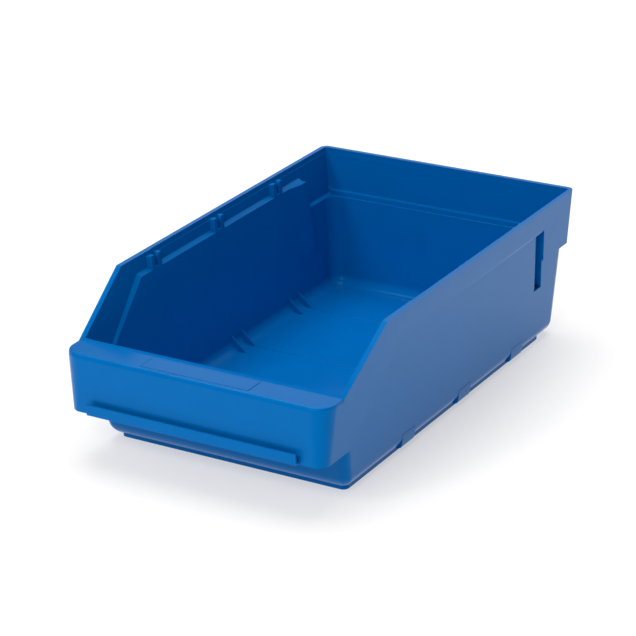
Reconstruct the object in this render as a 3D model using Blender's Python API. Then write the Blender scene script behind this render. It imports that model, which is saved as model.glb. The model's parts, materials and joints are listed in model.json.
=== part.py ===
"""Stackable shelf bin: an open plastic tub with a deep overhanging front.

Frame: +X to the bin's right, +Y to its back, +Z up, with the origin under the middle of its box.
Lengths are in units of 0.75 mm: the bin is 400 units long, 240 wide and 127 high, which is
300 x 180 x 95 mm. UNIT turns them into metres where the meshes are made.
"""
import bmesh
import bpy
from math import cos, pi, radians, sin
from mathutils import Vector

UNIT = 0.00075
COLLECTION = "shelf_bin"

# Overall box of the bin, from the label rail's face to the back rim.
LENGTH = 400.0
WIDTH = 240.0
HEIGHT = 127.0
BACK = LENGTH / 2
FRONT = -LENGTH / 2

# The skin: rim band, slope triangles and hood, one continuous outer layer.
SKIN_WALL = 4.4
SKIN_SIDE_DRAFT = 0.09
SKIN_BACK_DRAFT = 0.014
SKIN_BACK_CORNER = 6.5
SKIN_FRONT_CORNER = 10.0
BAND_BOTTOM = 106.0
DEEP_BAND_BOTTOM = 80.0
DEEP_BAND_START = 150.0
DEEP_BAND_LEAN = 0.128
BAND_FRONT = -84.0
SLOPE_RUN = 1.04
BAND_EDGE_RISE = 2.2
EDGE_LEAD = 0.4
SLOPE_REAR = -112.5
RIM_STEP_BOTTOM = 122.7
RIM_STEP = 0.5

# The hood: the deep front with the lip on top and the hollow under it.
HOOD_FACE = -195.0
HOOD_FACE_DRAFT = 0.004
HOOD_CORNER = 10.0
HOOD_CORNER_GROWTH = 0.106
HOOD_HOLLOW_CORNER = 12.0
HOOD_BOTTOM = 40.5
LIP_TOP = 87.7
LIP_REAR = -170.5
LIP_PLATE = 3.0
HOOD_WALL = 3.0
LIP_ROUND = 3.5
LIP_SIDE_ROUND = 1.0

# The tub: floor, lower walls and the slanted front wall.
FOOT = 3.6
TUB_BOTTOM = 4.0
TUB_FLOOR = 6.2
TUB_HALF = 107.2
TUB_SIDE_DRAFT = 0.0943
TUB_BACK = 191.5
TUB_BACK_DRAFT = 0.04
TUB_FRONT = -153.2
TUB_FRONT_SLANT = 0.2126
TUB_INNER_HALF = 104.4
TUB_INNER_DRAFT = 0.0585
TUB_BACK_WALL = 2.8
TUB_FRONT_WALL = 2.6
TUB_FILLET = 10.0
TUB_INNER_FILLET = 9.0
TUB_BACK_CORNER = 14.0
TUB_FRONT_CORNER = 7.0
FRONT_INSET = 0.8
CORNER_INSET = 0.6

# Ledges inside, where the tub's wall steps out to the skin.
LEDGE = 111.9
LEDGE_RISE = 0.66
DEEP_LEDGE = 85.4
BACK_LEDGE = 0.5
BACK_LEDGE_HEAD = 90.0
DEEP_LEDGE_START = 152.5
LEDGE_FRONT = -93.3
LEDGE_FOOT = 48.3
LEDGE_FOOT_RISE = 1.15

# Divider guide posts on the side ledges.
POST_CENTRES = {"front": -70.7, "mid": 19.6, "rear": 109.8}
POST_LENGTH = 13.3
POST_TOP = 123.5
POST_SLOT = 4.0
POST_SLOT_FOOT = 1.0
POST_FUNNEL = 1.6
POST_LEAD = 2.6

# Corner rib pairs, the squared corner between them and the low ridges across the floor.
RIB_PAIRS = {"front": (-68.5, -53.5), "mid": (22.0, 37.0), "rear": (112.5, 128.0)}
RIB_THICKNESS = 1.2
RIB_RISE = 3.0
RIB_FLAT = 0.6
BUMP_LEAD = 4.3
BUMP_TOP = 16.0
BUMP_PROUD = 0.2
BUMP_ROUND = 3.4
BUMP_CHAMFER = 0.3
BUMP_REACH = 1.5
BUMP_DEPTH = 4.0
RIDGE_HEIGHT = 0.5
RIDGE_WIDTH = 2.4

# Vertical grooves in the outer side walls.
GROOVE_BOTTOM = 55.0
GROOVE_DEPTH = 5.8
GROOVE_CURVE = 1.5
GROOVE_LEAD = 136.5
GROOVE_STEPS = 4
BULGE = 3.4
BULGE_LEAD = 127.0
BULGE_FADE = 12.0
BULGE_SINK = 0.4
BULGE_FILL = 3.9
BULGE_RAMP = 18.0
BULGE_DROP = 2.5
BULGE_PAST = 0.5

# The label rail on the hood's face, the foot ring and the blank plate on the lip.
RAIL_HALF = 92.0
RAIL_BOTTOM = 42.0
RAIL_TOP = 50.8
RAIL_WALL = 1.8
FOOT_HALF = 101.0
FOOT_FRONT = -146.0
FOOT_BACK = 173.0
FOOT_CORNER = 5.0
FOOT_WALL = 2.6
PLATE_HALF = 47.0
PLATE_REAR = -172.5
PLATE_FRONT = -190.0
PLATE_RECESS = 0.9

GAP = 0.4
CORNER_STEPS = 6
FILLET_STEPS = 5
BEYOND = 30.0
OVER_RIM = 12.0
BAND_REACH = 5.0
LEDGE_REACH = 12.0
GROOVE_REACH = 6.0
CLEAR = 0.1
OVERLAP = 0.3

BLUE = (0.0, 0.17, 0.5, 1.0)
ROUGHNESS = 0.32


# ---------------------------------------------------------------- the surfaces, as functions of height

def skin_half(z):
    return WIDTH / 2 - (HEIGHT - z) * SKIN_SIDE_DRAFT


def skin_back(z):
    return BACK - (HEIGHT - z) * SKIN_BACK_DRAFT


def hood_face(z):
    return HOOD_FACE + (LIP_TOP - z) * HOOD_FACE_DRAFT


def tub_half(z):
    return TUB_HALF + (z - TUB_BOTTOM) * TUB_SIDE_DRAFT


def tub_inner_half(z):
    return TUB_INNER_HALF + (z - TUB_BOTTOM) * TUB_INNER_DRAFT


def tub_back(z):
    return TUB_BACK + (z - TUB_BOTTOM) * TUB_BACK_DRAFT


def tub_front(z):
    return TUB_FRONT - (z - TUB_BOTTOM) * TUB_FRONT_SLANT


def leaning(y, z):
    return y + (DEEP_BAND_BOTTOM - z) * DEEP_BAND_LEAN


def hood_corner(z):
    return HOOD_CORNER + (z - HOOD_BOTTOM) * HOOD_CORNER_GROWTH


# ---------------------------------------------------------------- modelling helpers

def remove_everything():
    for thing in list(bpy.data.objects):
        bpy.data.objects.remove(thing)


def new_collection(name):
    collection = bpy.data.collections.new(name)
    bpy.context.scene.collection.children.link(collection)
    return collection


def new_object(name, mesh, collection):
    thing = bpy.data.objects.new(name, mesh)
    collection.objects.link(thing)
    return thing


def as_cutter(thing):
    thing.hide_render = True
    thing.display_type = "WIRE"
    return thing


def plastic():
    material = bpy.data.materials.new("blue_plastic")
    material.use_nodes = True
    surface = material.node_tree.nodes["Principled BSDF"]
    surface.inputs["Base Color"].default_value = BLUE
    surface.inputs["Roughness"].default_value = ROUGHNESS
    surface.inputs["Metallic"].default_value = 0.0
    return material


def ring(half, front, back, front_corner, back_corner, z):
    """A rectangle with round corners at one height, anticlockwise from above."""
    corners = [
        (half, front, front_corner, -pi / 2),
        (half, back, back_corner, 0.0),
        (-half, back, back_corner, pi / 2),
        (-half, front, front_corner, pi),
    ]
    points = []
    for x, y, radius, start in corners:
        centre_x = x - radius if x > 0 else x + radius
        centre_y = y - radius if y > 0 else y + radius
        for step in range(CORNER_STEPS + 1):
            angle = start + step * pi / 2 / CORNER_STEPS
            points.append((centre_x + radius * cos(angle), centre_y + radius * sin(angle), z))
    return points


def loft(name, rings, collection):
    """A closed skin through rings that have the same number of points."""
    mesh = bpy.data.meshes.new(name)
    shape = bmesh.new()
    loops = [[shape.verts.new(Vector(point) * UNIT) for point in points] for points in rings]
    for lower, upper in zip(loops, loops[1:]):
        for index in range(len(lower)):
            following = (index + 1) % len(lower)
            shape.faces.new((lower[index], lower[following], upper[following], upper[index]))
    shape.faces.new(list(reversed(loops[0])))
    shape.faces.new(loops[-1])
    bmesh.ops.recalc_face_normals(shape, faces=shape.faces)
    shape.to_mesh(mesh)
    shape.free()
    return new_object(name, mesh, collection)


def extruded(name, outline, low, high, along, collection):
    """A flat outline pushed along X (outline in Y and Z), Y (in X and Z) or Z (in X and Y)."""
    curve = bpy.data.curves.new(name, "CURVE")
    curve.dimensions = "2D"
    curve.fill_mode = "BOTH"
    curve.extrude = (high - low) / 2 * UNIT
    spline = curve.splines.new("POLY")
    spline.points.add(len(outline) - 1)
    for point, (across, up) in zip(spline.points, outline):
        point.co = (across * UNIT, up * UNIT, 0.0, 1.0)
    spline.use_cyclic_u = True
    sheet = new_object(name + "_outline", curve, collection)
    middle = (low + high) / 2 * UNIT
    if along == "X":
        sheet.rotation_euler = (pi / 2, 0.0, pi / 2)
        sheet.location = (middle, 0.0, 0.0)
    elif along == "Y":
        sheet.rotation_euler = (pi / 2, 0.0, 0.0)
        sheet.location = (0.0, middle, 0.0)
    else:
        sheet.location = (0.0, 0.0, middle)
    bpy.context.view_layer.update()
    evaluated = sheet.evaluated_get(bpy.context.evaluated_depsgraph_get())
    mesh = bpy.data.meshes.new_from_object(evaluated)
    shape = bmesh.new()
    shape.from_mesh(mesh)
    bmesh.ops.remove_doubles(shape, verts=shape.verts, dist=0.001 * UNIT)
    bmesh.ops.recalc_face_normals(shape, faces=shape.faces)
    shape.to_mesh(mesh)
    shape.free()
    solid = new_object(name, mesh, collection)
    solid.matrix_world = sheet.matrix_world.copy()
    bpy.data.objects.remove(sheet)
    return solid


def combine(target, tool, operation):
    modifier = target.modifiers.new(tool.name, "BOOLEAN")
    modifier.operation = operation
    modifier.solver = "EXACT"
    modifier.object = as_cutter(tool)


# ---------------------------------------------------------------- the shell

def skin_rings(offset, low, high):
    rings = []
    for z in (low, high):
        rings.append(ring(
            skin_half(z) - offset, hood_face(z) + offset, skin_back(z) - offset,
            SKIN_FRONT_CORNER - offset, SKIN_BACK_CORNER - offset, z,
        ))
    return rings


def hood_rings():
    """The hood's outside, from its lower edge to the softly rounded lip."""
    rings = []
    rear = LIP_REAR + 12.0
    for z in (HOOD_BOTTOM, LIP_TOP - LIP_ROUND):
        rings.append(ring(skin_half(z), hood_face(z), rear, hood_corner(z), 1.0, z))
    for step in range(1, FILLET_STEPS + 1):
        angle = step * pi / 2 / FILLET_STEPS
        last = step == FILLET_STEPS
        z = LIP_TOP + 2.0 if last else LIP_TOP - LIP_ROUND + LIP_ROUND * sin(angle)
        inset = 1.0 - cos(angle)
        rings.append(ring(
            skin_half(min(z, LIP_TOP)) - LIP_SIDE_ROUND * inset,
            hood_face(LIP_TOP) + LIP_ROUND * inset, rear,
            hood_corner(LIP_TOP) - LIP_ROUND * inset, 1.0, z,
        ))
    return rings


def tub_rings(hollow, top):
    """The tub's outside or its hollow: a round bottom edge, then straight drafted walls."""
    half = tub_inner_half if hollow else tub_half
    front_wall = TUB_FRONT_WALL if hollow else 0.0
    back_wall = TUB_BACK_WALL if hollow else 0.0
    low = TUB_FLOOR if hollow else TUB_BOTTOM
    fillet = TUB_INNER_FILLET if hollow else TUB_FILLET
    front_corner = TUB_FRONT_CORNER - front_wall
    back_corner = TUB_BACK_CORNER - back_wall
    rings = []
    for step in range(FILLET_STEPS + 1):
        angle = step * pi / 2 / FILLET_STEPS
        z = low + fillet * (1.0 - cos(angle))
        inset = fillet * (1.0 - sin(angle))
        rings.append(ring(
            half(z) - inset,
            tub_front(z) + front_wall + inset * FRONT_INSET, tub_back(z) - back_wall - inset,
            max(front_corner - inset * CORNER_INSET, 1.0), back_corner - inset, z,
        ))
    rings.append(ring(
        half(top), tub_front(top) + front_wall, tub_back(top) - back_wall, front_corner, back_corner, top,
    ))
    return rings


def bump_outline(side):
    """Section across the squared bottom corner between two ribs."""
    wall = tub_half(TUB_BOTTOM) + BUMP_PROUD
    low = TUB_BOTTOM - BUMP_PROUD
    corner = [
        (FOOT_HALF + BUMP_REACH, low),
        (wall - BUMP_ROUND, low),
        (wall - BUMP_ROUND * BUMP_CHAMFER, low + BUMP_ROUND * BUMP_CHAMFER),
        (wall + BUMP_ROUND * TUB_SIDE_DRAFT, low + BUMP_ROUND),
        (tub_half(BUMP_TOP) + BUMP_PROUD, BUMP_TOP),
        (tub_half(BUMP_TOP) - BUMP_DEPTH, BUMP_TOP),
        (FOOT_HALF + BUMP_REACH, low + BUMP_ROUND),
    ]
    return [(side * x, z) for x, z in corner]


def across(outline, half, spread, shrink):
    """Rings of a solid that lies across the bin and narrows outside the given wall."""
    rings = []
    for side, away in ((-1, spread), (-1, -OVERLAP), (1, -OVERLAP), (1, spread)):
        rings.append([(side * (half(z) + away), y, z) for y, z in outline(away * shrink)])
    return rings


def skin_region_rings():
    """The rim band, the slope and the deep band at the back, with a slanted lower edge."""
    def outline(inset):
        far = BACK + BEYOND
        above = HEIGHT + BEYOND
        low = HOOD_BOTTOM
        edge = BAND_BOTTOM + inset
        start = BAND_FRONT - inset * EDGE_LEAD
        slope_foot = start - (edge - low) * SLOPE_RUN
        return [
            (far, DEEP_BAND_BOTTOM),
            (DEEP_BAND_START, DEEP_BAND_BOTTOM),
            (leaning(DEEP_BAND_START, edge), edge),
            (start, edge),
            (slope_foot, low),
            (LIP_REAR - 0.5, low),
            (LIP_REAR - 0.5, above),
            (far, above),
        ]
    return across(outline, tub_half, BAND_REACH, BAND_EDGE_RISE)


def wide_inside_rings():
    """The wide part of the room, which starts at the slanted ledges on the side walls."""
    def outline(inset):
        top = HEIGHT + BEYOND
        foot = LEDGE_FOOT + inset * LEDGE_FOOT_RISE
        front = tub_front(foot) + TUB_FRONT_WALL + OVERLAP
        back = tub_back(DEEP_LEDGE) - TUB_BACK_WALL
        return [
            (front, foot),
            (LEDGE_FRONT - inset * EDGE_LEAD, LEDGE + inset),
            (leaning(DEEP_LEDGE_START, LEDGE), LEDGE + inset),
            (leaning(DEEP_LEDGE_START, DEEP_LEDGE), DEEP_LEDGE + inset),
            (back - CLEAR, DEEP_LEDGE + inset),
            (back + BACK_LEDGE, DEEP_LEDGE + inset + BACK_LEDGE),
            (back + BACK_LEDGE + CLEAR, BACK_LEDGE_HEAD + inset),
            (BACK + BEYOND, BACK_LEDGE_HEAD + inset + OVER_RIM),
            (BACK + BEYOND, top),
            (tub_front(top) + TUB_FRONT_WALL + OVERLAP, top),
        ]
    return across(outline, tub_inner_half, LEDGE_REACH, LEDGE_RISE)


def groove_rings(side):
    """A groove that deepens smoothly towards the deep band at the back."""
    rings = []
    for z in (GROOVE_BOTTOM, BAND_BOTTOM + OVERLAP):
        wall = tub_half(z)
        start = leaning(GROOVE_LEAD, z)
        end = leaning(DEEP_BAND_START + OVERLAP, z)
        plan = [(wall + GROOVE_REACH, start), (wall + CLEAR, start)]
        for step in range(1, GROOVE_STEPS + 1):
            part = step / GROOVE_STEPS
            plan.append((wall - GROOVE_DEPTH * part ** GROOVE_CURVE, start + (end - start) * part))
        plan.append((wall + GROOVE_REACH, end))
        rings.append([(side * x, y, z) for x, y in plan])
    return rings


def bulge_rings(side):
    """The inside of the wall, pushed in behind the groove and fading out below it."""
    rings = []
    bottom = GROOVE_BOTTOM - BULGE_DROP
    for z, depth in ((bottom - BULGE_FADE, -BULGE_SINK), (bottom, BULGE), (LEDGE, BULGE)):
        wall = tub_inner_half(z)
        start = leaning(BULGE_LEAD, z)
        end = leaning(DEEP_LEDGE_START + BULGE_PAST, z)
        plan = [
            (wall + BULGE_FILL, start),
            (wall + BULGE_SINK, start),
            (wall - (depth - BULGE_SINK) / 2, start + BULGE_RAMP / 2),
            (wall - depth, start + BULGE_RAMP),
            (wall - depth, end),
            (wall + BULGE_FILL, end),
        ]
        rings.append([(side * x, y, z) for x, y in plan])
    return rings


def shell(parts, cutters):
    body = loft("bin_shell", skin_rings(0.0, HOOD_BOTTOM - 4.0, HEIGHT + 6.0), parts)
    far = BACK + BEYOND
    ahead = FRONT - BEYOND
    above = HEIGHT + BEYOND
    half = WIDTH / 2 + BEYOND
    combine(body, loft("skin_region", skin_region_rings(), cutters), "INTERSECT")
    combine(body, loft("hood_block", hood_rings(), cutters), "UNION")
    combine(body, loft("tub_block", tub_rings(False, LEDGE - 1.0), cutters), "UNION")
    for side, hand in ((-1, "left"), (1, "right")):
        for place, (first, second) in RIB_PAIRS.items():
            bump = extruded(
                f"bump_{hand}_{place}", bump_outline(side),
                first - BUMP_LEAD, second + RIB_THICKNESS / 2, "Y", cutters,
            )
            combine(body, bump, "UNION")
    above_rim = [
        (ahead, LIP_TOP),
        (LIP_REAR, LIP_TOP),
        (SLOPE_REAR, HEIGHT),
        (far, HEIGHT),
        (far, above),
        (ahead, above),
    ]
    combine(body, extruded("above_rim", above_rim, -half, half, "X", cutters), "DIFFERENCE")
    combine(body, loft("tub_inside", tub_rings(True, HEIGHT + OVER_RIM), cutters), "DIFFERENCE")
    combine(body, skin_inside(cutters), "DIFFERENCE")
    combine(body, rim_step(cutters), "DIFFERENCE")
    combine(body, hood_hollow(cutters), "DIFFERENCE")
    for side, hand in ((-1, "left"), (1, "right")):
        combine(body, loft(f"bulge_{hand}", bulge_rings(side), cutters), "UNION")
        combine(body, loft(f"groove_{hand}", groove_rings(side), cutters), "DIFFERENCE")
    recess = [
        (-PLATE_HALF - GAP, PLATE_FRONT - GAP),
        (PLATE_HALF + GAP, PLATE_FRONT - GAP),
        (PLATE_HALF + GAP, PLATE_REAR + GAP),
        (-PLATE_HALF - GAP, PLATE_REAR + GAP),
    ]
    low = LIP_TOP - PLATE_RECESS
    combine(body, extruded("plate_recess", recess, low, LIP_TOP + 5.0, "Z", cutters), "DIFFERENCE")
    return body


def skin_inside(cutters):
    """What the wide inside takes off the wall above the ledges and behind the front wall."""
    block = loft("skin_inside", skin_rings(SKIN_WALL, 20.0, HEIGHT + OVER_RIM), cutters)
    combine(block, loft("skin_inside_region", wide_inside_rings(), cutters), "INTERSECT")
    return block


def rim_step(cutters):
    """The thin step just under the rim, from the first guide posts to the back."""
    offset = SKIN_WALL - RIM_STEP
    block = loft("rim_step", skin_rings(offset, RIM_STEP_BOTTOM - 5.0, HEIGHT + OVER_RIM), cutters)
    start = POST_CENTRES["front"]
    top = HEIGHT + BEYOND
    region = [(start, RIM_STEP_BOTTOM), (BACK + BEYOND, RIM_STEP_BOTTOM), (BACK + BEYOND, top), (start, top)]
    half = WIDTH / 2 + BEYOND
    combine(block, extruded("rim_step_region", region, -half, half, "X", cutters), "INTERSECT")
    return block


def hood_hollow(cutters):
    """The room under the lip, between the front wall and the hood's face, open downwards."""
    rings = []
    for z in (20.0, LIP_TOP + 5.0):
        rings.append(ring(
            skin_half(z) - HOOD_WALL, hood_face(z) + HOOD_WALL, -BEYOND, HOOD_HOLLOW_CORNER, 1.0, z,
        ))
    block = loft("hood_hollow", rings, cutters)
    ceiling = LIP_TOP - LIP_PLATE
    low = 30.0
    region = [
        (tub_front(low) - CLEAR, low),
        (tub_front(ceiling) - CLEAR, ceiling),
        (FRONT - BEYOND, ceiling),
        (FRONT - BEYOND, low),
    ]
    half = WIDTH / 2 + BEYOND
    combine(block, extruded("hood_hollow_region", region, -half, half, "X", cutters), "INTERSECT")
    return block


# ---------------------------------------------------------------- the small pieces

def guide_post(name, side, centre, parts, cutters):
    """A slotted post that stands on the side ledge and guides a divider's edge."""
    front = centre - POST_LENGTH / 2
    back = centre + POST_LENGTH / 2
    rings = []
    for top in (False, True):
        z = POST_TOP if top else LEDGE + GAP
        inner = tub_inner_half(z)
        outer = skin_half(z) - SKIN_WALL - GAP
        rise = 0.0 if top else (outer - inner) * LEDGE_RISE
        plan = [
            (outer, front - POST_LEAD, rise),
            (outer, back, rise),
            (inner, back, 0.0),
            (inner, front, 0.0),
        ]
        rings.append([(side * x, y, z + up) for x, y, up in plan])
    post = loft(name, rings, parts)
    half = POST_SLOT / 2
    slot = [
        (centre - half, LEDGE + POST_SLOT_FOOT),
        (centre + half, LEDGE + POST_SLOT_FOOT),
        (centre + half, POST_TOP - 2.5),
        (centre + half + POST_FUNNEL, POST_TOP + 1.0),
        (centre - half - POST_FUNNEL, POST_TOP + 1.0),
        (centre - half, POST_TOP - 2.5),
    ]
    cut = extruded(name + "_slot", slot, side * 118.0 - 14.0, side * 118.0 + 14.0, "X", cutters)
    combine(post, cut, "DIFFERENCE")
    return post


def inner_corner(angle, clear):
    """A point on the round inside corner (0 on the floor, pi / 2 on the wall), moved into the tub."""
    z = TUB_FLOOR + TUB_INNER_FILLET * (1.0 - cos(angle))
    x = tub_inner_half(z) - TUB_INNER_FILLET * (1.0 - sin(angle))
    return x - clear * sin(angle), z + clear * cos(angle)


def corner_rib(name, side, y, parts):
    """A straight gusset across the round bottom corner, from the wall down to the floor."""
    angles = [radians(90.0) * step / FILLET_STEPS for step in range(FILLET_STEPS + 1)]
    outline = [inner_corner(angle, GAP) for angle in angles]
    wall_x, wall_z = outline[-1]
    floor_x, floor_z = outline[0]
    head = (wall_x + RIB_RISE * TUB_INNER_DRAFT - RIB_FLAT, wall_z + RIB_RISE)
    foot = (floor_x - RIB_RISE, floor_z + RIB_FLAT)
    outline += [(head[0] + RIB_FLAT, head[1]), head]
    outline += [foot, (foot[0], floor_z)]
    outline = [(side * x, z) for x, z in outline]
    return extruded(name, outline, y - RIB_THICKNESS / 2, y + RIB_THICKNESS / 2, "Y", parts)


def floor_ridge(name, y, parts):
    half = tub_inner_half(TUB_FLOOR) - TUB_INNER_FILLET - 4.0
    low = TUB_FLOOR + GAP
    outline = [
        (y - RIDGE_WIDTH / 2, low),
        (y + RIDGE_WIDTH / 2, low),
        (y + RIDGE_WIDTH / 4, low + RIDGE_HEIGHT),
        (y - RIDGE_WIDTH / 4, low + RIDGE_HEIGHT),
    ]
    return extruded(name, outline, -half, half, "X", parts)


def label_rail(parts):
    rear = hood_face(RAIL_BOTTOM) - GAP
    rail_floor = RAIL_BOTTOM + RAIL_WALL
    outline = [
        (FRONT, RAIL_BOTTOM),
        (rear, RAIL_BOTTOM),
        (rear, rail_floor),
        (FRONT + RAIL_WALL, rail_floor),
        (FRONT + RAIL_WALL, RAIL_TOP - 0.4),
        (FRONT + RAIL_WALL - 0.4, RAIL_TOP),
        (FRONT + 0.4, RAIL_TOP),
        (FRONT, RAIL_TOP - 0.4),
    ]
    return extruded("label_rail", outline, -RAIL_HALF, RAIL_HALF, "X", parts)


def foot_ring(parts, cutters):
    foot = loft("foot_ring", [
        ring(FOOT_HALF, FOOT_FRONT, FOOT_BACK, FOOT_CORNER, FOOT_CORNER, z) for z in (0.0, FOOT)
    ], parts)
    inner = FOOT_CORNER - FOOT_WALL
    hole = loft("foot_hole", [
        ring(FOOT_HALF - FOOT_WALL, FOOT_FRONT + FOOT_WALL, FOOT_BACK - FOOT_WALL, inner, inner, z)
        for z in (-5.0, FOOT + 5.0)
    ], cutters)
    combine(foot, hole, "DIFFERENCE")
    return foot


def lip_plate(parts):
    outline = [
        (-PLATE_HALF, PLATE_FRONT),
        (PLATE_HALF, PLATE_FRONT),
        (PLATE_HALF, PLATE_REAR),
        (-PLATE_HALF, PLATE_REAR),
    ]
    low = LIP_TOP - PLATE_RECESS + GAP
    return extruded("lip_plate", outline, low, LIP_TOP + 0.2, "Z", parts)


def main():
    remove_everything()
    parts = new_collection(COLLECTION)
    cutters = new_collection("cutters")
    made = [shell(parts, cutters), label_rail(parts), foot_ring(parts, cutters), lip_plate(parts)]
    for side, hand in ((-1, "left"), (1, "right")):
        for place, centre in POST_CENTRES.items():
            made.append(guide_post(f"guide_post_{hand}_{place}", side, centre, parts, cutters))
        for place, pair in RIB_PAIRS.items():
            for order, y in zip("ab", pair):
                made.append(corner_rib(f"corner_rib_{hand}_{place}_{order}", side, y, parts))
    for place, (_, y) in RIB_PAIRS.items():
        made.append(floor_ridge(f"floor_ridge_{place}", y, parts))
    blue = plastic()
    for thing in made:
        thing.data.materials.clear()
        thing.data.materials.append(blue)


main()
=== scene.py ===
"""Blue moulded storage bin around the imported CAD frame: the looks, the floor, the light and the camera.

Lengths are in units of 0.75 mm unless the name says metres; UNIT turns them into metres.
"""
import bmesh
import bpy
import json
from math import cos, pi, radians, sin
from mathutils import Matrix, Vector

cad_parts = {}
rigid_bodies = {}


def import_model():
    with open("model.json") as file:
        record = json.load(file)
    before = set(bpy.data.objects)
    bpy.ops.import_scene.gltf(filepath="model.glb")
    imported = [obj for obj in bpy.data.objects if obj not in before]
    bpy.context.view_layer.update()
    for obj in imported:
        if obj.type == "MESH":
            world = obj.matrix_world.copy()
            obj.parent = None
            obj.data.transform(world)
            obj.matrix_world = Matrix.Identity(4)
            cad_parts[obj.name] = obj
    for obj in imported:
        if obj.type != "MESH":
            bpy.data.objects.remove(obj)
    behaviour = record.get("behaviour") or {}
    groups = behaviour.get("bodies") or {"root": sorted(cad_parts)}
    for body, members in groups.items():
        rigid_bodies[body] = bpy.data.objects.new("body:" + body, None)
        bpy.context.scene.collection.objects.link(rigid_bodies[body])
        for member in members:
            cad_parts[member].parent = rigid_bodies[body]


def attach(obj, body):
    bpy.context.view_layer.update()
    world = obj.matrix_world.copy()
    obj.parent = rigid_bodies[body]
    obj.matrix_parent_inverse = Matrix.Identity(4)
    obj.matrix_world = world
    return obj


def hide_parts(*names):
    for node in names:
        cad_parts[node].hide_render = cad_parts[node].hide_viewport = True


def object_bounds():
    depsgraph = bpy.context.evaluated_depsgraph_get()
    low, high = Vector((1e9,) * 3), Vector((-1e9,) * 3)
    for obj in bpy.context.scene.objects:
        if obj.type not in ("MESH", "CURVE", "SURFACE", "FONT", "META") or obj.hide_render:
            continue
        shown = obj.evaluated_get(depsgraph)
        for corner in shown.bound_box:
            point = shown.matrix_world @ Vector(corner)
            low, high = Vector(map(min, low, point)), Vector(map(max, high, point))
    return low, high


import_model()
cad_low, cad_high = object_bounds()

UNIT = 0.00075

# The overall box, from the frame.
WIDTH = (cad_high.x - cad_low.x) / UNIT
HEIGHT = cad_high.z / UNIT
BACK = cad_high.y / UNIT
FRONT = cad_low.y / UNIT

# The skin: rim band, slope triangles and hood, one continuous outer layer.
SKIN_WALL = 4.4
SKIN_SIDE_DRAFT = 0.09
SKIN_BACK_DRAFT = 0.014
SKIN_BACK_CORNER = 6.5
SKIN_FRONT_CORNER = 10.0
BAND_BOTTOM = 106.0
DEEP_BAND_BOTTOM = 80.0
DEEP_BAND_START = 150.0
DEEP_BAND_LEAN = 0.128
BAND_FRONT = -84.0
SLOPE_RUN = 1.04
BAND_EDGE_RISE = 2.2
EDGE_LEAD = 0.4
SLOPE_REAR = -112.5
RIM_STEP_BOTTOM = 122.7
RIM_STEP = 0.5

# The hood: the deep front with the lip on top and the hollow under it.
HOOD_FACE = -195.0
HOOD_FACE_DRAFT = 0.004
HOOD_CORNER = 10.0
HOOD_CORNER_GROWTH = 0.106
HOOD_HOLLOW_CORNER = 12.0
HOOD_BOTTOM = 40.5
LIP_TOP = 87.7
LIP_REAR = -170.5
LIP_PLATE = 3.0
HOOD_WALL = 3.0
HOOD_REACH = 12.0
HOOD_OVERSHOOT = 2.0
HOLLOW_FOOT = 30.0
LIP_LEAD = 0.5
LIP_ROUND = 3.5
LIP_SIDE_ROUND = 1.0

# The tub: floor, lower walls and the slanted front wall.
FOOT = 3.6
TUB_BOTTOM = 4.0
TUB_FLOOR = 6.2
TUB_HALF = 107.2
TUB_SIDE_DRAFT = 0.0943
TUB_BACK = 191.5
TUB_BACK_DRAFT = 0.04
TUB_FRONT = -153.2
TUB_FRONT_SLANT = 0.2126
TUB_INNER_HALF = 104.4
TUB_INNER_DRAFT = 0.0585
TUB_BACK_WALL = 2.8
TUB_FRONT_WALL = 2.6
TUB_FILLET = 10.0
TUB_INNER_FILLET = 9.0
TUB_BACK_CORNER = 14.0
TUB_FRONT_CORNER = 7.0
FRONT_INSET = 0.8
CORNER_INSET = 0.6

# Ledges inside, where the tub's wall steps out to the skin.
LEDGE = 111.9
LEDGE_RISE = 0.66
DEEP_LEDGE = 85.4
BACK_LEDGE = 0.5
BACK_LEDGE_HEAD = 90.0
DEEP_LEDGE_START = 152.5
LEDGE_FRONT = -93.3
LEDGE_FOOT = 48.3
LEDGE_FOOT_RISE = 1.15

# Divider guide posts on the side ledges.
POST_CENTRES = {"front": -70.7, "mid": 19.6, "rear": 109.8}
POST_LENGTH = 13.3
POST_TOP = 123.5
POST_SLOT = 4.0
POST_SLOT_FOOT = 1.0
POST_FUNNEL = 1.6
POST_LEAD = 2.6
POST_FUNNEL_DEPTH = 2.5
POST_CUT_ABOVE = 1.0
POST_CUT_MIDDLE = 118.0
POST_CUT_HALF = 14.0

# Corner rib pairs, the squared corner between them and the low ridges across the floor.
RIB_PAIRS = {"front": (-68.5, -53.5), "mid": (22.0, 37.0), "rear": (112.5, 128.0)}
RIB_THICKNESS = 1.2
RIB_RISE = 3.0
RIB_FLAT = 1.0
BUMP_LEAD = 4.3
BUMP_TOP = 16.0
BUMP_PROUD = 0.2
BUMP_ROUND = 3.4
BUMP_CHAMFER = 0.3
BUMP_REACH = 1.5
BUMP_DEPTH = 4.0
RIDGE_HEIGHT = 0.7
RIDGE_WIDTH = 2.4
RIDGE_INSET = 4.0

# Vertical grooves in the outer side walls.
GROOVE_BOTTOM = 55.0
GROOVE_DEPTH = 5.8
GROOVE_CURVE = 1.5
GROOVE_LEAD = 136.5
GROOVE_STEPS = 10
BULGE = 3.4
BULGE_LEAD = 127.0
BULGE_FADE = 12.0
BULGE_SINK = 0.4
BULGE_FILL = 3.9
BULGE_RAMP = 18.0
BULGE_DROP = 2.5
BULGE_PAST = 0.5

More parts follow.
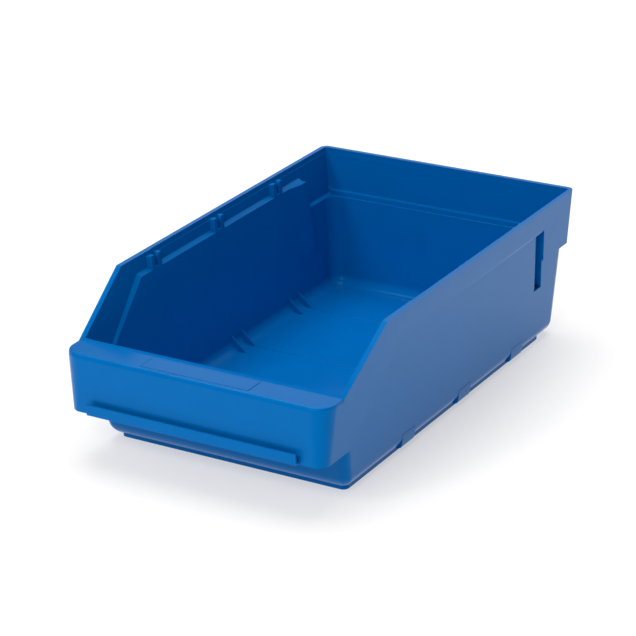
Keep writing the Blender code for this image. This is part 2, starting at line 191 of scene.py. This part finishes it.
# The label rail on the hood's face, the foot ring and the blank plate on the lip.
RAIL_HALF = 92.0
RAIL_BOTTOM = 42.0
RAIL_TOP = 50.8
RAIL_WALL = 1.8
RAIL_ROUND = 0.4
FOOT_HALF = 101.0
FOOT_FRONT = -146.0
FOOT_BACK = 173.0
FOOT_CORNER = 5.0
FOOT_WALL = 2.6
FOOT_CUT = 5.0
PLATE_HALF = 47.0
PLATE_REAR = -172.5
PLATE_FRONT = -190.0
PLATE_RECESS = 0.35
PLATE_GROOVE = 0.35
PLATE_PROUD = 0.2

# How far pieces sink into each other, how fine the curves are and how far the cutters reach.
SINK = 0.4
CORNER_STEPS = 14
FILLET_STEPS = 12
BEYOND = 30.0
OVER_RIM = 12.0
ABOVE_RIM = 6.0
ABOVE_LIP = 5.0
BELOW_HOOD = 20.0
UNDER_HOOD = 4.0
TUB_BLOCK_DROP = 1.0
BAND_REACH = 5.0
LEDGE_REACH = 12.0
GROOVE_REACH = 6.0
CLEAR = 0.1
OVERLAP = 0.3

# The rounding of the finished meshes; the angles are in degrees.
SHELL_BEVEL = 0.7
SMALL_BEVEL = 0.25
BEVEL_SEGMENTS = 3
BEVEL_ANGLE = 28.0
FLAT_ANGLE = 0.3
SHARP_ANGLE = 40.0
CURVE_MERGE = 0.001
MERGE = 0.01


# ---------------------------------------------------------------- the surfaces, as functions of height

def skin_half(z):
    return WIDTH / 2 - (HEIGHT - z) * SKIN_SIDE_DRAFT


def skin_back(z):
    return BACK - (HEIGHT - z) * SKIN_BACK_DRAFT


def hood_face(z):
    return HOOD_FACE + (LIP_TOP - z) * HOOD_FACE_DRAFT


def tub_half(z):
    return TUB_HALF + (z - TUB_BOTTOM) * TUB_SIDE_DRAFT


def tub_inner_half(z):
    return TUB_INNER_HALF + (z - TUB_BOTTOM) * TUB_INNER_DRAFT


def tub_back(z):
    return TUB_BACK + (z - TUB_BOTTOM) * TUB_BACK_DRAFT


def tub_front(z):
    return TUB_FRONT - (z - TUB_BOTTOM) * TUB_FRONT_SLANT


def leaning(y, z):
    return y + (DEEP_BAND_BOTTOM - z) * DEEP_BAND_LEAN


def hood_corner(z):
    return HOOD_CORNER + (z - HOOD_BOTTOM) * HOOD_CORNER_GROWTH


# ---------------------------------------------------------------- modelling helpers

def new_collection(name):
    collection = bpy.data.collections.new(name)
    bpy.context.scene.collection.children.link(collection)
    return collection


def new_object(name, mesh, collection):
    thing = bpy.data.objects.new(name, mesh)
    collection.objects.link(thing)
    return thing


def as_cutter(thing):
    thing.hide_render = True
    thing.display_type = "WIRE"
    return thing


def ring(half, front, back, front_corner, back_corner, z):
    """A rectangle with round corners at one height, anticlockwise from above."""
    corners = [
        (half, front, front_corner, -pi / 2),
        (half, back, back_corner, 0.0),
        (-half, back, back_corner, pi / 2),
        (-half, front, front_corner, pi),
    ]
    points = []
    for x, y, radius, start in corners:
        centre_x = x - radius if x > 0 else x + radius
        centre_y = y - radius if y > 0 else y + radius
        for step in range(CORNER_STEPS + 1):
            angle = start + step * pi / 2 / CORNER_STEPS
            points.append((centre_x + radius * cos(angle), centre_y + radius * sin(angle), z))
    return points


def loft(name, rings, collection):
    """A closed skin through rings that have the same number of points."""
    mesh = bpy.data.meshes.new(name)
    shape = bmesh.new()
    loops = [[shape.verts.new(Vector(point) * UNIT) for point in points] for points in rings]
    for lower, upper in zip(loops, loops[1:]):
        for index in range(len(lower)):
            following = (index + 1) % len(lower)
            shape.faces.new((lower[index], lower[following], upper[following], upper[index]))
    shape.faces.new(list(reversed(loops[0])))
    shape.faces.new(loops[-1])
    bmesh.ops.recalc_face_normals(shape, faces=shape.faces)
    shape.to_mesh(mesh)
    shape.free()
    return new_object(name, mesh, collection)


def extruded(name, outline, low, high, along, collection):
    """A flat outline pushed along X (outline in Y and Z), Y (in X and Z) or Z (in X and Y)."""
    curve = bpy.data.curves.new(name, "CURVE")
    curve.dimensions = "2D"
    curve.fill_mode = "BOTH"
    curve.extrude = (high - low) / 2 * UNIT
    spline = curve.splines.new("POLY")
    spline.points.add(len(outline) - 1)
    for point, (across, up) in zip(spline.points, outline):
        point.co = (across * UNIT, up * UNIT, 0.0, 1.0)
    spline.use_cyclic_u = True
    sheet = new_object(name + "_outline", curve, collection)
    middle = (low + high) / 2 * UNIT
    if along == "X":
        sheet.rotation_euler = (pi / 2, 0.0, pi / 2)
        sheet.location = (middle, 0.0, 0.0)
    elif along == "Y":
        sheet.rotation_euler = (pi / 2, 0.0, 0.0)
        sheet.location = (0.0, middle, 0.0)
    else:
        sheet.location = (0.0, 0.0, middle)
    bpy.context.view_layer.update()
    evaluated = sheet.evaluated_get(bpy.context.evaluated_depsgraph_get())
    mesh = bpy.data.meshes.new_from_object(evaluated)
    shape = bmesh.new()
    shape.from_mesh(mesh)
    bmesh.ops.remove_doubles(shape, verts=shape.verts, dist=CURVE_MERGE * UNIT)
    bmesh.ops.recalc_face_normals(shape, faces=shape.faces)
    shape.to_mesh(mesh)
    shape.free()
    solid = new_object(name, mesh, collection)
    solid.matrix_world = sheet.matrix_world.copy()
    bpy.data.objects.remove(sheet)
    return solid


def combine(target, tool, operation):
    modifier = target.modifiers.new(tool.name, "BOOLEAN")
    modifier.operation = operation
    modifier.solver = "EXACT"
    modifier.object = as_cutter(tool)


# ---------------------------------------------------------------- the shell

def skin_rings(offset, low, high):
    rings = []
    for z in (low, high):
        rings.append(ring(
            skin_half(z) - offset, hood_face(z) + offset, skin_back(z) - offset,
            SKIN_FRONT_CORNER - offset, SKIN_BACK_CORNER - offset, z,
        ))
    return rings


def hood_rings():
    """The hood's outside, from its lower edge to the softly rounded lip."""
    rings = []
    rear = LIP_REAR + HOOD_REACH
    for z in (HOOD_BOTTOM, LIP_TOP - LIP_ROUND):
        rings.append(ring(skin_half(z), hood_face(z), rear, hood_corner(z), 1.0, z))
    for step in range(1, FILLET_STEPS + 1):
        angle = step * pi / 2 / FILLET_STEPS
        last = step == FILLET_STEPS
        z = LIP_TOP + HOOD_OVERSHOOT if last else LIP_TOP - LIP_ROUND + LIP_ROUND * sin(angle)
        inset = 1.0 - cos(angle)
        rings.append(ring(
            skin_half(min(z, LIP_TOP)) - LIP_SIDE_ROUND * inset,
            hood_face(LIP_TOP) + LIP_ROUND * inset, rear,
            hood_corner(LIP_TOP) - LIP_ROUND * inset, 1.0, z,
        ))
    return rings


def tub_rings(hollow, top):
    """The tub's outside or its hollow: a round bottom edge, then straight drafted walls."""
    half = tub_inner_half if hollow else tub_half
    front_wall = TUB_FRONT_WALL if hollow else 0.0
    back_wall = TUB_BACK_WALL if hollow else 0.0
    low = TUB_FLOOR if hollow else TUB_BOTTOM
    fillet = TUB_INNER_FILLET if hollow else TUB_FILLET
    front_corner = TUB_FRONT_CORNER - front_wall
    back_corner = TUB_BACK_CORNER - back_wall
    rings = []
    for step in range(FILLET_STEPS + 1):
        angle = step * pi / 2 / FILLET_STEPS
        z = low + fillet * (1.0 - cos(angle))
        inset = fillet * (1.0 - sin(angle))
        rings.append(ring(
            half(z) - inset,
            tub_front(z) + front_wall + inset * FRONT_INSET, tub_back(z) - back_wall - inset,
            max(front_corner - inset * CORNER_INSET, 1.0), back_corner - inset, z,
        ))
    rings.append(ring(
        half(top), tub_front(top) + front_wall, tub_back(top) - back_wall, front_corner, back_corner, top,
    ))
    return rings


def bump_outline(side):
    """Section across the squared bottom corner between two ribs."""
    wall = tub_half(TUB_BOTTOM) + BUMP_PROUD
    low = TUB_BOTTOM - BUMP_PROUD
    corner = [
        (FOOT_HALF + BUMP_REACH, low),
        (wall - BUMP_ROUND, low),
        (wall - BUMP_ROUND * BUMP_CHAMFER, low + BUMP_ROUND * BUMP_CHAMFER),
        (wall + BUMP_ROUND * TUB_SIDE_DRAFT, low + BUMP_ROUND),
        (tub_half(BUMP_TOP) + BUMP_PROUD, BUMP_TOP),
        (tub_half(BUMP_TOP) - BUMP_DEPTH, BUMP_TOP),
        (FOOT_HALF + BUMP_REACH, low + BUMP_ROUND),
    ]
    return [(side * x, z) for x, z in corner]


def across(outline, half, spread, shrink):
    """Rings of a solid that lies across the bin and narrows outside the given wall."""
    rings = []
    for side, away in ((-1, spread), (-1, -OVERLAP), (1, -OVERLAP), (1, spread)):
        rings.append([(side * (half(z) + away), y, z) for y, z in outline(away * shrink)])
    return rings


def skin_region_rings():
    """The rim band, the slope and the deep band at the back, with a slanted lower edge."""
    def outline(inset):
        far = BACK + BEYOND
        above = HEIGHT + BEYOND
        low = HOOD_BOTTOM
        edge = BAND_BOTTOM + inset
        start = BAND_FRONT - inset * EDGE_LEAD
        slope_foot = start - (edge - low) * SLOPE_RUN
        return [
            (far, DEEP_BAND_BOTTOM),
            (DEEP_BAND_START, DEEP_BAND_BOTTOM),
            (leaning(DEEP_BAND_START, edge), edge),
            (start, edge),
            (slope_foot, low),
            (LIP_REAR - LIP_LEAD, low),
            (LIP_REAR - LIP_LEAD, above),
            (far, above),
        ]
    return across(outline, tub_half, BAND_REACH, BAND_EDGE_RISE)


def wide_inside_rings():
    """The wide part of the room, which starts at the slanted ledges on the side walls."""
    def outline(inset):
        top = HEIGHT + BEYOND
        foot = LEDGE_FOOT + inset * LEDGE_FOOT_RISE
        front = tub_front(foot) + TUB_FRONT_WALL + OVERLAP
        back = tub_back(DEEP_LEDGE) - TUB_BACK_WALL
        return [
            (front, foot),
            (LEDGE_FRONT - inset * EDGE_LEAD, LEDGE + inset),
            (leaning(DEEP_LEDGE_START, LEDGE), LEDGE + inset),
            (leaning(DEEP_LEDGE_START, DEEP_LEDGE), DEEP_LEDGE + inset),
            (back - CLEAR, DEEP_LEDGE + inset),
            (back + BACK_LEDGE, DEEP_LEDGE + inset + BACK_LEDGE),
            (back + BACK_LEDGE + CLEAR, BACK_LEDGE_HEAD + inset),
            (BACK + BEYOND, BACK_LEDGE_HEAD + inset + OVER_RIM),
            (BACK + BEYOND, top),
            (tub_front(top) + TUB_FRONT_WALL + OVERLAP, top),
        ]
    return across(outline, tub_inner_half, LEDGE_REACH, LEDGE_RISE)


def groove_rings(side):
    """A groove that deepens smoothly towards the deep band at the back."""
    rings = []
    for z in (GROOVE_BOTTOM, BAND_BOTTOM + OVERLAP):
        wall = tub_half(z)
        start = leaning(GROOVE_LEAD, z)
        end = leaning(DEEP_BAND_START + OVERLAP, z)
        plan = [(wall + GROOVE_REACH, start), (wall + CLEAR, start)]
        for step in range(1, GROOVE_STEPS + 1):
            part = step / GROOVE_STEPS
            plan.append((wall - GROOVE_DEPTH * part ** GROOVE_CURVE, start + (end - start) * part))
        plan.append((wall + GROOVE_REACH, end))
        rings.append([(side * x, y, z) for x, y in plan])
    return rings


def bulge_rings(side):
    """The inside of the wall, pushed in behind the groove and fading out below it."""
    rings = []
    bottom = GROOVE_BOTTOM - BULGE_DROP
    for z, depth in ((bottom - BULGE_FADE, -BULGE_SINK), (bottom, BULGE), (LEDGE, BULGE)):
        wall = tub_inner_half(z)
        start = leaning(BULGE_LEAD, z)
        end = leaning(DEEP_LEDGE_START + BULGE_PAST, z)
        plan = [
            (wall + BULGE_FILL, start),
            (wall + BULGE_SINK, start),
            (wall - (depth - BULGE_SINK) / 2, start + BULGE_RAMP / 2),
            (wall - depth, start + BULGE_RAMP),
            (wall - depth, end),
            (wall + BULGE_FILL, end),
        ]
        rings.append([(side * x, y, z) for x, y in plan])
    return rings


def shell(parts, cutters):
    body = loft("bin_shell", skin_rings(0.0, HOOD_BOTTOM - UNDER_HOOD, HEIGHT + ABOVE_RIM), parts)
    far = BACK + BEYOND
    ahead = FRONT - BEYOND
    above = HEIGHT + BEYOND
    half = WIDTH / 2 + BEYOND
    combine(body, loft("skin_region", skin_region_rings(), cutters), "INTERSECT")
    combine(body, loft("hood_block", hood_rings(), cutters), "UNION")
    combine(body, loft("tub_block", tub_rings(False, LEDGE - TUB_BLOCK_DROP), cutters), "UNION")
    for side, hand in ((-1, "left"), (1, "right")):
        for place, (first, second) in RIB_PAIRS.items():
            bump = extruded(
                f"bump_{hand}_{place}", bump_outline(side),
                first - BUMP_LEAD, second + RIB_THICKNESS / 2, "Y", cutters,
            )
            combine(body, bump, "UNION")
    above_rim = [
        (ahead, LIP_TOP),
        (LIP_REAR, LIP_TOP),
        (SLOPE_REAR, HEIGHT),
        (far, HEIGHT),
        (far, above),
        (ahead, above),
    ]
    combine(body, extruded("above_rim", above_rim, -half, half, "X", cutters), "DIFFERENCE")
    combine(body, loft("tub_inside", tub_rings(True, HEIGHT + OVER_RIM), cutters), "DIFFERENCE")
    combine(body, skin_inside(cutters), "DIFFERENCE")
    combine(body, rim_step(cutters), "DIFFERENCE")
    combine(body, hood_hollow(cutters), "DIFFERENCE")
    for side, hand in ((-1, "left"), (1, "right")):
        combine(body, loft(f"bulge_{hand}", bulge_rings(side), cutters), "UNION")
        combine(body, loft(f"groove_{hand}", groove_rings(side), cutters), "DIFFERENCE")
    recess = [
        (-PLATE_HALF - PLATE_GROOVE, PLATE_FRONT - PLATE_GROOVE),
        (PLATE_HALF + PLATE_GROOVE, PLATE_FRONT - PLATE_GROOVE),
        (PLATE_HALF + PLATE_GROOVE, PLATE_REAR + PLATE_GROOVE),
        (-PLATE_HALF - PLATE_GROOVE, PLATE_REAR + PLATE_GROOVE),
    ]
    low = LIP_TOP - PLATE_RECESS
    combine(body, extruded("plate_recess", recess, low, LIP_TOP + ABOVE_LIP, "Z", cutters), "DIFFERENCE")
    return body


def skin_inside(cutters):
    """What the wide inside takes off the wall above the ledges and behind the front wall."""
    block = loft("skin_inside", skin_rings(SKIN_WALL, BELOW_HOOD, HEIGHT + OVER_RIM), cutters)
    combine(block, loft("skin_inside_region", wide_inside_rings(), cutters), "INTERSECT")
    return block


def rim_step(cutters):
    """The thin step just under the rim, from the first guide posts to the back."""
    offset = SKIN_WALL - RIM_STEP
    block = loft("rim_step", skin_rings(offset, RIM_STEP_BOTTOM - ABOVE_LIP, HEIGHT + OVER_RIM), cutters)
    start = POST_CENTRES["front"]
    top = HEIGHT + BEYOND
    region = [(start, RIM_STEP_BOTTOM), (BACK + BEYOND, RIM_STEP_BOTTOM), (BACK + BEYOND, top), (start, top)]
    half = WIDTH / 2 + BEYOND
    combine(block, extruded("rim_step_region", region, -half, half, "X", cutters), "INTERSECT")
    return block


def hood_hollow(cutters):
    """The room under the lip, between the front wall and the hood's face, open downwards."""
    rings = []
    for z in (BELOW_HOOD, LIP_TOP + ABOVE_LIP):
        rings.append(ring(
            skin_half(z) - HOOD_WALL, hood_face(z) + HOOD_WALL, -BEYOND, HOOD_HOLLOW_CORNER, 1.0, z,
        ))
    block = loft("hood_hollow", rings, cutters)
    ceiling = LIP_TOP - LIP_PLATE
    low = HOLLOW_FOOT
    region = [
        (tub_front(low) - CLEAR, low),
        (tub_front(ceiling) - CLEAR, ceiling),
        (FRONT - BEYOND, ceiling),
        (FRONT - BEYOND, low),
    ]
    half = WIDTH / 2 + BEYOND
    combine(block, extruded("hood_hollow_region", region, -half, half, "X", cutters), "INTERSECT")
    return block


# ---------------------------------------------------------------- the small pieces

def guide_post(name, side, centre, parts, cutters):
    """A slotted post that stands on the side ledge and guides a divider's edge."""
    front = centre - POST_LENGTH / 2
    back = centre + POST_LENGTH / 2
    rings = []
    for top in (False, True):
        z = POST_TOP if top else LEDGE - SINK
        inner = tub_inner_half(z)
        outer = skin_half(z) - SKIN_WALL + SINK
        rise = 0.0 if top else (outer - inner) * LEDGE_RISE
        plan = [
            (outer, front - POST_LEAD, rise),
            (outer, back, rise),
            (inner, back, 0.0),
            (inner, front, 0.0),
        ]
        rings.append([(side * x, y, z + up) for x, y, up in plan])
    post = loft(name, rings, parts)
    half = POST_SLOT / 2
    slot = [
        (centre - half, LEDGE + POST_SLOT_FOOT),
        (centre + half, LEDGE + POST_SLOT_FOOT),
        (centre + half, POST_TOP - POST_FUNNEL_DEPTH),
        (centre + half + POST_FUNNEL, POST_TOP + POST_CUT_ABOVE),
        (centre - half - POST_FUNNEL, POST_TOP + POST_CUT_ABOVE),
        (centre - half, POST_TOP - POST_FUNNEL_DEPTH),
    ]
    middle = side * POST_CUT_MIDDLE
    cut = extruded(name + "_slot", slot, middle - POST_CUT_HALF, middle + POST_CUT_HALF, "X", cutters)
    combine(post, cut, "DIFFERENCE")
    return post


def inner_corner(angle, clear):
    """A point on the round inside corner (0 on the floor, pi / 2 on the wall), moved into the tub."""
    z = TUB_FLOOR + TUB_INNER_FILLET * (1.0 - cos(angle))
    x = tub_inner_half(z) - TUB_INNER_FILLET * (1.0 - sin(angle))
    return x - clear * sin(angle), z + clear * cos(angle)


def corner_rib(name, side, y, parts):
    """A straight gusset across the round bottom corner, from the wall down to the floor."""
    angles = [step * pi / 2 / FILLET_STEPS for step in range(FILLET_STEPS + 1)]
    outline = [inner_corner(angle, -SINK) for angle in angles]
    wall_x, wall_z = outline[-1]
    floor_x, floor_z = outline[0]
    head = (wall_x + RIB_RISE * TUB_INNER_DRAFT - RIB_FLAT, wall_z + RIB_RISE)
    foot = (floor_x - RIB_RISE, floor_z + RIB_FLAT)
    outline += [(head[0] + RIB_FLAT, head[1]), head, foot, (foot[0], floor_z)]
    outline = [(side * x, z) for x, z in outline]
    return extruded(name, outline, y - RIB_THICKNESS / 2, y + RIB_THICKNESS / 2, "Y", parts)


def floor_ridge(name, y, parts):
    half = tub_inner_half(TUB_FLOOR) - TUB_INNER_FILLET - RIDGE_INSET
    low = TUB_FLOOR - SINK
    outline = [
        (y - RIDGE_WIDTH / 2, low),
        (y + RIDGE_WIDTH / 2, low),
        (y + RIDGE_WIDTH / 4, TUB_FLOOR + RIDGE_HEIGHT),
        (y - RIDGE_WIDTH / 4, TUB_FLOOR + RIDGE_HEIGHT),
    ]
    return extruded(name, outline, -half, half, "X", parts)


def label_rail(parts):
    rear = hood_face(RAIL_BOTTOM) + SINK
    rail_floor = RAIL_BOTTOM + RAIL_WALL
    outline = [
        (FRONT, RAIL_BOTTOM),
        (rear, RAIL_BOTTOM),
        (rear, rail_floor),
        (FRONT + RAIL_WALL, rail_floor),
        (FRONT + RAIL_WALL, RAIL_TOP - RAIL_ROUND),
        (FRONT + RAIL_WALL - RAIL_ROUND, RAIL_TOP),
        (FRONT + RAIL_ROUND, RAIL_TOP),
        (FRONT, RAIL_TOP - RAIL_ROUND),
    ]
    return extruded("label_rail", outline, -RAIL_HALF, RAIL_HALF, "X", parts)


def foot_ring(parts, cutters):
    foot = loft("foot_ring", [
        ring(FOOT_HALF, FOOT_FRONT, FOOT_BACK, FOOT_CORNER, FOOT_CORNER, z) for z in (0.0, TUB_BOTTOM + SINK)
    ], parts)
    inner = FOOT_CORNER - FOOT_WALL
    hole = loft("foot_hole", [
        ring(FOOT_HALF - FOOT_WALL, FOOT_FRONT + FOOT_WALL, FOOT_BACK - FOOT_WALL, inner, inner, z)
        for z in (-FOOT_CUT, FOOT + FOOT_CUT)
    ], cutters)
    combine(foot, hole, "DIFFERENCE")
    return foot


def lip_plate(parts):
    outline = [
        (-PLATE_HALF, PLATE_FRONT),
        (PLATE_HALF, PLATE_FRONT),
        (PLATE_HALF, PLATE_REAR),
        (-PLATE_HALF, PLATE_REAR),
    ]
    low = LIP_TOP - PLATE_RECESS - SINK
    return extruded("lip_plate", outline, low, LIP_TOP + PLATE_PROUD, "Z", parts)


# ---------------------------------------------------------------- finishing the meshes

def finished(thing, width):
    """Applies the modifiers, cleans the flat faces and rounds the sharp edges."""
    bpy.context.view_layer.update()
    evaluated = thing.evaluated_get(bpy.context.evaluated_depsgraph_get())
    mesh = bpy.data.meshes.new_from_object(evaluated)
    shape = bmesh.new()
    shape.from_mesh(mesh)
    bmesh.ops.transform(shape, matrix=thing.matrix_world, verts=shape.verts)
    bmesh.ops.remove_doubles(shape, verts=shape.verts, dist=MERGE * UNIT)
    bmesh.ops.dissolve_limit(
        shape, angle_limit=radians(FLAT_ANGLE), verts=shape.verts, edges=shape.edges,
        use_dissolve_boundaries=False,
    )
    edges = [e for e in shape.edges if e.is_manifold and e.calc_face_angle() > radians(BEVEL_ANGLE)]
    bmesh.ops.bevel(
        shape, geom=edges, offset=width * UNIT, offset_type="OFFSET", segments=BEVEL_SEGMENTS,
        profile=0.5, affect="EDGES", clamp_overlap=True,
    )
    shape.to_mesh(mesh)
    shape.free()
    thing.modifiers.clear()
    thing.matrix_world = Matrix.Identity(4)
    thing.data = mesh
    mesh.shade_smooth()
    mesh.set_sharp_from_angle(angle=radians(SHARP_ANGLE))
    weighted = thing.modifiers.new("face weighted normals", "WEIGHTED_NORMAL")
    weighted.keep_sharp = True


def drop_cutters(cutters):
    for thing in list(cutters.objects):
        bpy.data.objects.remove(thing)
    bpy.data.collections.remove(cutters)


# ---------------------------------------------------------------- material

PLASTIC_DARK = (0.0, 0.129, 0.42, 1.0)
PLASTIC_LIGHT = (0.0, 0.141, 0.46, 1.0)
PLASTIC_SPECULAR = (0.02, 0.5, 1.0, 1.0)
PLASTIC_IOR = 1.33
ROUGHNESS_LOW = 0.15
ROUGHNESS_HIGH = 0.20
CLOUD_SCALE = 55.0
CLOUD_DETAIL = 2.0
GRAIN_SCALE = 1800.0
GRAIN_DETAIL = 2.0
GRAIN_STRENGTH = 0.08
GRAIN_DEPTH_M = 0.00005


def plastic():
    """Glossy blue plastic with a slow change of shade and a very fine grain."""
    material = bpy.data.materials.new("blue_polypropylene")
    material.use_nodes = True
    tree = material.node_tree
    surface = tree.nodes["Principled BSDF"]
    surface.inputs["IOR"].default_value = PLASTIC_IOR
    surface.inputs["Specular Tint"].default_value = PLASTIC_SPECULAR
    place = tree.nodes.new("ShaderNodeTexCoord")
    cloud = tree.nodes.new("ShaderNodeTexNoise")
    cloud.inputs["Scale"].default_value = CLOUD_SCALE
    cloud.inputs["Detail"].default_value = CLOUD_DETAIL
    tree.links.new(place.outputs["Object"], cloud.inputs["Vector"])
    colour = tree.nodes.new("ShaderNodeMix")
    colour.data_type = "RGBA"
    colour.inputs["A"].default_value = PLASTIC_DARK
    colour.inputs["B"].default_value = PLASTIC_LIGHT
    tree.links.new(cloud.outputs["Fac"], colour.inputs["Factor"])
    tree.links.new(colour.outputs["Result"], surface.inputs["Base Color"])
    gloss = tree.nodes.new("ShaderNodeMapRange")
    gloss.inputs["To Min"].default_value = ROUGHNESS_LOW
    gloss.inputs["To Max"].default_value = ROUGHNESS_HIGH
    tree.links.new(cloud.outputs["Fac"], gloss.inputs["Value"])
    tree.links.new(gloss.outputs["Result"], surface.inputs["Roughness"])
    grain = tree.nodes.new("ShaderNodeTexNoise")
    grain.inputs["Scale"].default_value = GRAIN_SCALE
    grain.inputs["Detail"].default_value = GRAIN_DETAIL
    tree.links.new(place.outputs["Object"], grain.inputs["Vector"])
    bump = tree.nodes.new("ShaderNodeBump")
    bump.inputs["Strength"].default_value = GRAIN_STRENGTH
    bump.inputs["Distance"].default_value = GRAIN_DEPTH_M
    tree.links.new(grain.outputs["Fac"], bump.inputs["Height"])
    tree.links.new(bump.outputs["Normal"], surface.inputs["Normal"])
    return material


# ---------------------------------------------------------------- floor, light and camera

CAMERA_AZIMUTH = 31.50
CAMERA_ELEVATION = 23.04
CAMERA_ROLL = -1.66
CAMERA_DISTANCE_M = 1.5460
CAMERA_TARGET_M = (-0.00623, 0.0, 0.04647)
CAMERA_LENS_MM = 147.15
CAMERA_SENSOR_MM = 36.0
FLOOR_SIZE_M = 12.0
FLOOR_COLOUR = (0.45, 0.445, 0.44, 1.0)
FLOOR_ROUGHNESS = 0.7
FLOOR_SPECULAR = 0.1
FLOOR_GLOW_COLOUR = (1.0, 0.99, 0.98, 1.0)

# Each ramp: start and end distance in metres, glow at the start and at the end.
# The near ramp glows less close to the bin: a painted soft shade around its foot.
NEAR_GLOW_PAINTED_SHADE = (0.08, 0.22, 0.50, 0.64)
FAR_GLOW = (0.45, 1.2, 0.0, 0.6)
SKY_COLOUR = (1.0, 1.0, 1.0, 1.0)
SKY = 0.2

# Each softbox: name, place, target and size in metres, power in watts.
SOFTBOXES = (
    ("key", (-0.15, -1.45, 1.1), (0.0, 0.0, 0.04), (0.9, 0.7), 5.0),
    ("left_glint", (-0.55, -1.4, 1.15), (0.0, 0.0, 0.0), (0.3, 0.3), 5.5),
    ("right_glint", (0.4, -1.4, 1.15), (0.0, 0.0, 0.0), (0.3, 0.3), 5.5),
    ("top", (-0.2, 0.3, 1.5), (0.0, 0.0, 0.0), (1.3, 1.2), 18.5),
    ("backdrop", (0.0, 1.45, 0.8), (0.0, 0.0, 0.05), (2.4, 0.6), 1.6),
)


def camera():
    data = bpy.data.cameras.new("camera")
    data.lens = CAMERA_LENS_MM
    data.sensor_width = CAMERA_SENSOR_MM
    thing = bpy.data.objects.new("camera", data)
    bpy.context.scene.collection.objects.link(thing)
    azimuth = radians(CAMERA_AZIMUTH)
    elevation = radians(CAMERA_ELEVATION)
    roll = radians(CAMERA_ROLL)
    back = Vector((sin(azimuth) * cos(elevation), -cos(azimuth) * cos(elevation), sin(elevation)))
    level = Vector((cos(azimuth), sin(azimuth), 0.0))
    upright = back.cross(level)
    right = level * cos(roll) + upright * sin(roll)
    up = upright * cos(roll) - level * sin(roll)
    axes = Matrix((right, up, back)).transposed().to_4x4()
    thing.matrix_world = Matrix.Translation(Vector(CAMERA_TARGET_M) + back * CAMERA_DISTANCE_M) @ axes
    bpy.context.scene.camera = thing


def glow_ramp(tree, distance, start, end, low, high):
    """A smooth rise of the floor's glow between two distances from the middle."""
    ramp = tree.nodes.new("ShaderNodeMapRange")
    ramp.interpolation_type = "SMOOTHSTEP"
    ramp.inputs["From Min"].default_value = start
    ramp.inputs["From Max"].default_value = end
    ramp.inputs["To Min"].default_value = low
    ramp.inputs["To Max"].default_value = high
    tree.links.new(distance, ramp.inputs["Value"])
    return ramp.outputs["Result"]


def floor():
    """A pale floor that glows a little, more so further out, so that it stays white; its weaker glow close
    to the bin is a painted soft shade around the bin's foot.
    """
    bpy.ops.mesh.primitive_plane_add(size=FLOOR_SIZE_M, location=(0.0, 0.0, 0.0))
    ground = bpy.context.object
    ground.name = "floor"
    material = bpy.data.materials.new("pale_floor")
    material.use_nodes = True
    tree = material.node_tree
    surface = tree.nodes["Principled BSDF"]
    surface.inputs["Base Color"].default_value = FLOOR_COLOUR
    surface.inputs["Roughness"].default_value = FLOOR_ROUGHNESS
    surface.inputs["Specular IOR Level"].default_value = FLOOR_SPECULAR
    surface.inputs["Emission Color"].default_value = FLOOR_GLOW_COLOUR
    place = tree.nodes.new("ShaderNodeTexCoord")
    span = tree.nodes.new("ShaderNodeVectorMath")
    span.operation = "LENGTH"
    tree.links.new(place.outputs["Object"], span.inputs[0])
    distance = span.outputs["Value"]
    total = tree.nodes.new("ShaderNodeMath")
    total.operation = "ADD"
    # Painted shade: the floor glows less close to the bin.
    tree.links.new(glow_ramp(tree, distance, *NEAR_GLOW_PAINTED_SHADE), total.inputs[0])
    tree.links.new(glow_ramp(tree, distance, *FAR_GLOW), total.inputs[1])
    tree.links.new(total.outputs["Value"], surface.inputs["Emission Strength"])
    ground.data.materials.append(material)


def softbox(name, place, target, size, power):
    data = bpy.data.lights.new(name, "AREA")
    data.shape = "RECTANGLE"
    data.size = size[0]
    data.size_y = size[1]
    data.energy = power
    lamp = bpy.data.objects.new(name, data)
    bpy.context.scene.collection.objects.link(lamp)
    lamp.location = place
    away = Vector(place) - Vector(target)
    lamp.rotation_mode = "QUATERNION"
    lamp.rotation_quaternion = away.to_track_quat("Z", "Y")


def studio():
    world = bpy.data.worlds.new("studio")
    bpy.context.scene.world = world
    world.use_nodes = True
    sky = world.node_tree.nodes["Background"]
    sky.inputs["Color"].default_value = SKY_COLOUR
    sky.inputs["Strength"].default_value = SKY
    for box in SOFTBOXES:
        softbox(*box)
    bpy.context.scene.view_settings.view_transform = "Standard"


# ---------------------------------------------------------------- the bin

def made_of(thing, material, *nodes):
    thing.data.materials.clear()
    thing.data.materials.append(material)
    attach(thing, "root")
    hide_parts(*nodes)


def main():
    parts = new_collection("shelf_bin_looks")
    cutters = new_collection("cutters")
    blue = plastic()
    made = [shell(parts, cutters), label_rail(parts), foot_ring(parts, cutters), lip_plate(parts)]
    for side, hand in ((-1, "left"), (1, "right")):
        for place, centre in POST_CENTRES.items():
            made.append(guide_post(f"guide_post_{hand}_{place}", side, centre, parts, cutters))
        for place, pair in RIB_PAIRS.items():
            for order, y in zip("ab", pair):
                made.append(corner_rib(f"corner_rib_{hand}_{place}_{order}", side, y, parts))
    for place, (_, y) in RIB_PAIRS.items():
        made.append(floor_ridge(f"floor_ridge_{place}", y, parts))
    for thing in made:
        node = thing.name.removesuffix(".001")
        finished(thing, SHELL_BEVEL if node == "bin_shell" else SMALL_BEVEL)
        thing.name = "looks_" + node
        made_of(thing, blue, node)
    drop_cutters(cutters)
    floor()
    studio()
    camera()


main()
